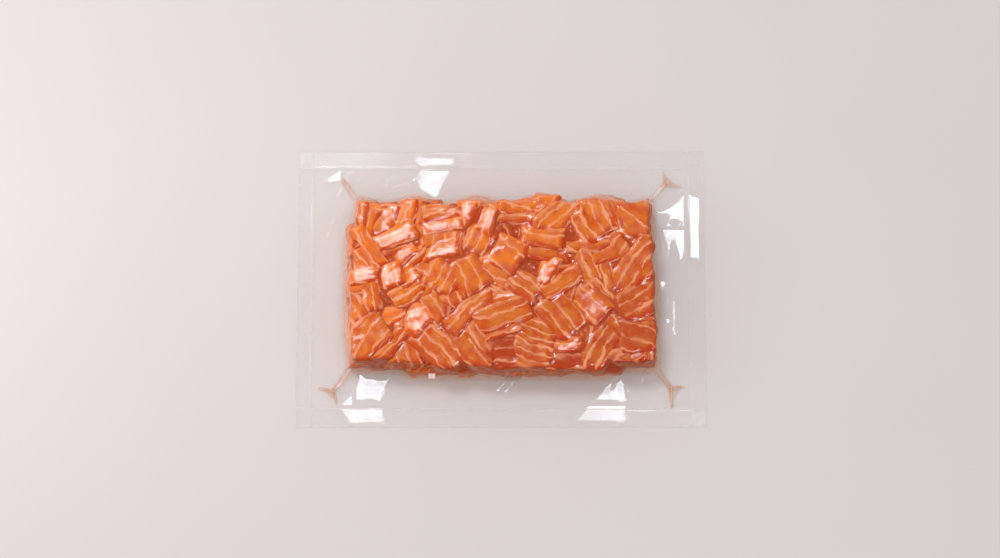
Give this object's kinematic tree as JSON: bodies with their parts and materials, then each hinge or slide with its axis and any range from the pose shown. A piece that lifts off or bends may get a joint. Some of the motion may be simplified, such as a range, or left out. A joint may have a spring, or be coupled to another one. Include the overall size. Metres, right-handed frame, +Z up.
{
  "type": "vacuum pack of salmon poke cubes",
  "caption": "Flat block of raw salmon poke cubes drawn tight in a clear vacuum pouch, with a wide welded margin and folded corners.",
  "frame": {"origin": "on the table, under the middle of the pouch", "axes": "+X along the block and the pouch, +Y across them towards the back seal, +Z up"},
  "size_m": [0.22, 0.15, 0.0292],
  "materials": {
    "salmon": "wet raw salmon under tight film: orange flesh with pale fat lines",
    "film": "clear glossy plastic film, fine cross-hatch in the two wide welds"
  },
  "bodies": {
    "root": {"salmon_cubes": "salmon", "film_margin": "film"}
  },
  "joints": []
}
